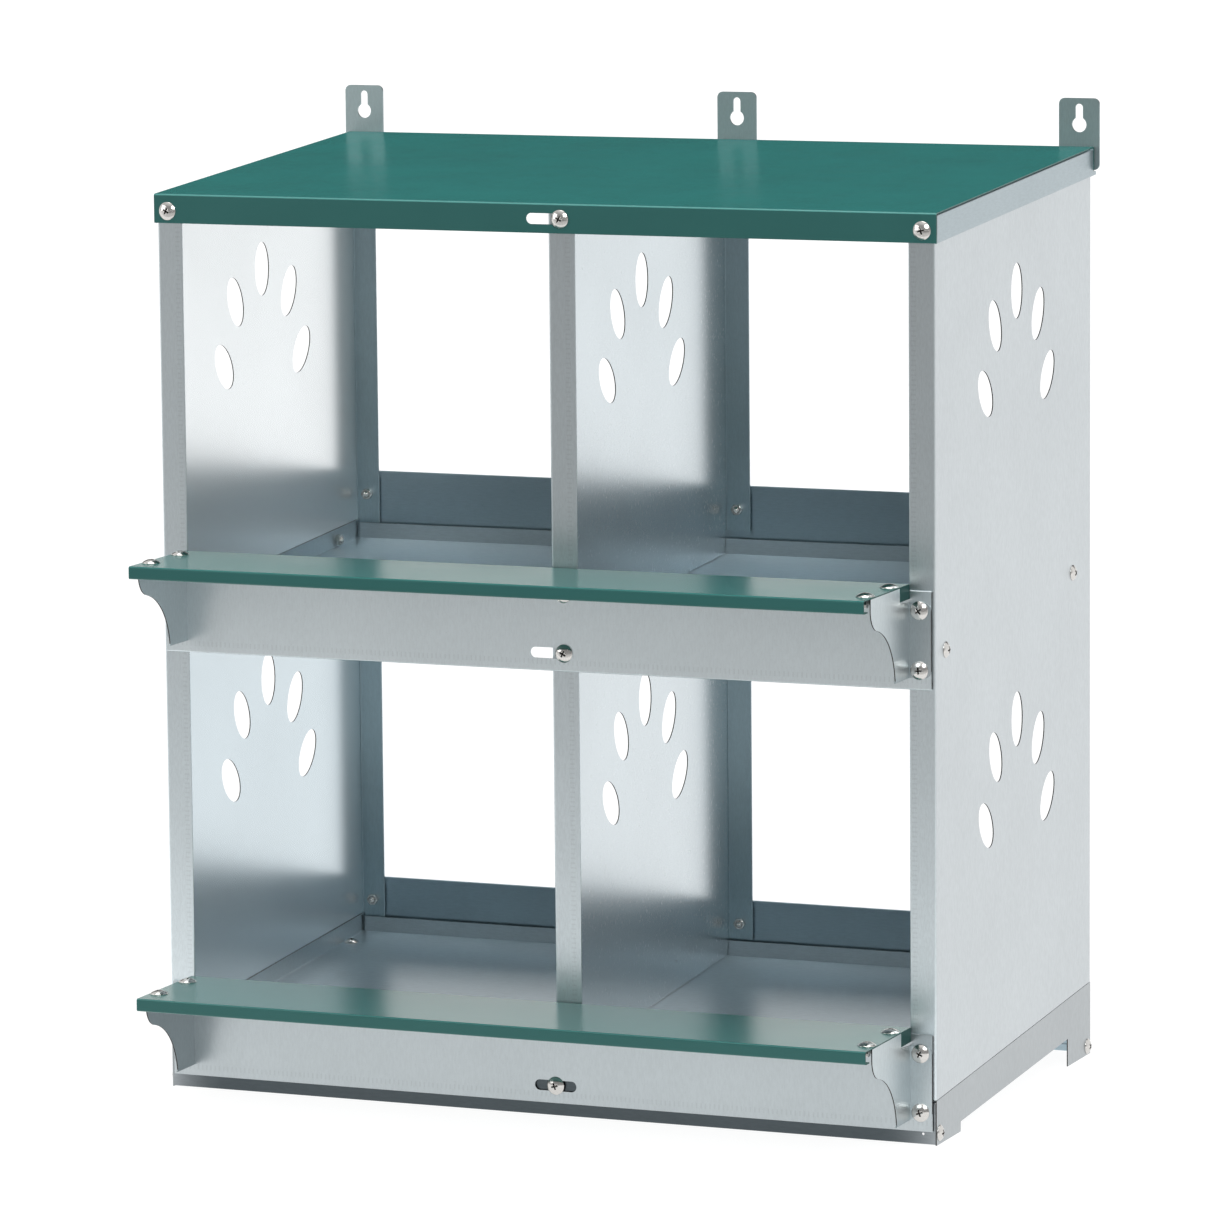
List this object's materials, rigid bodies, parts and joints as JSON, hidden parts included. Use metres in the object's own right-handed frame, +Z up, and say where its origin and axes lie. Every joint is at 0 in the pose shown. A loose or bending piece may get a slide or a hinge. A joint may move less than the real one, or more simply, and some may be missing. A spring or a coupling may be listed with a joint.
{
  "type": "poultry nesting box",
  "caption": "Wall-hung sheet metal nesting box for hens: stacked open nests, green sloping roof and perches, paw-shaped openings, sliding dividers.",
  "frame": {"origin": "centre of the footprint, on the ground the feet stand on", "axes": "+Z up; +Y from the open, perched front towards the wall it hangs on; +X towards the right-hand side panel for someone facing the front"},
  "size_m": [0.622, 0.4536, 0.731],
  "materials": {
    "panel_zinc": "galvanised sheet, soft satin",
    "divider_zinc": "galvanised sheet, soft satin",
    "rail_zinc": "galvanised sheet, soft satin",
    "floor_zinc": "galvanised sheet, soft satin",
    "bracket_zinc": "galvanised sheet, soft satin",
    "tab_zinc": "galvanised plate, satin",
    "green_paint": "dark green powder coat, semi-gloss",
    "screw_nickel": "bright nickel plate",
    "nut_nickel": "bright nickel plate"
  },
  "bodies": {
    "box": {"left_side_panel": "panel_zinc", "right_side_panel": "panel_zinc", "roof_panel": "green_paint", "left_roof_trim": "panel_zinc", "right_roof_trim": "panel_zinc", "left_hang_tab": "tab_zinc", "right_hang_tab": "tab_zinc", "mid_front_rail": "rail_zinc", "lower_front_rail": "rail_zinc", "upper_back_rail": "rail_zinc", "lower_back_rail": "rail_zinc", "upper_floor": "floor_zinc", "lower_floor": "floor_zinc", "upper_perch": "green_paint", "lower_perch": "green_paint", "upper_left_bracket": "bracket_zinc", "upper_right_bracket": "bracket_zinc", "lower_left_bracket": "bracket_zinc", "lower_right_bracket": "bracket_zinc", "left_base_skirt": "panel_zinc", "right_base_skirt": "panel_zinc", "base_front_rail": "rail_zinc", "base_rear_rail": "rail_zinc", "roof_screws": "screw_nickel", "roof_nuts": "nut_nickel", "bracket_screws": "screw_nickel", "bracket_nuts": "nut_nickel", "perch_screws": "screw_nickel", "perch_nuts": "nut_nickel", "back_rail_screws": "screw_nickel", "back_rail_nuts": "nut_nickel", "upper_floor_screws": "screw_nickel", "upper_floor_nuts": "nut_nickel", "lower_floor_screws": "screw_nickel", "lower_floor_nuts": "nut_nickel", "base_screws": "screw_nickel", "base_nuts": "nut_nickel", "lower_rail_screw": "screw_nickel", "lower_rail_nut": "nut_nickel", "hang_tab_screws": "screw_nickel", "hang_tab_nuts": "nut_nickel"},
    "upper_divider": {"upper_divider": "divider_zinc", "centre_hang_tab": "tab_zinc", "upper_divider_screws": "screw_nickel", "upper_divider_nuts": "nut_nickel"},
    "lower_divider": {"lower_divider": "divider_zinc", "lower_divider_screws": "screw_nickel", "lower_divider_nuts": "nut_nickel"}
  },
  "joints": [
    {"name": "upper_divider_slide", "type": "slide", "parent": "box", "child": "upper_divider", "axis": [1, 0, 0], "range_m": [-0.0235, 0.0035]},
    {"name": "lower_divider_slide", "type": "slide", "parent": "box", "child": "lower_divider", "axis": [1, 0, 0], "range_m": [-0.0235, 0.0035]}
  ]
}
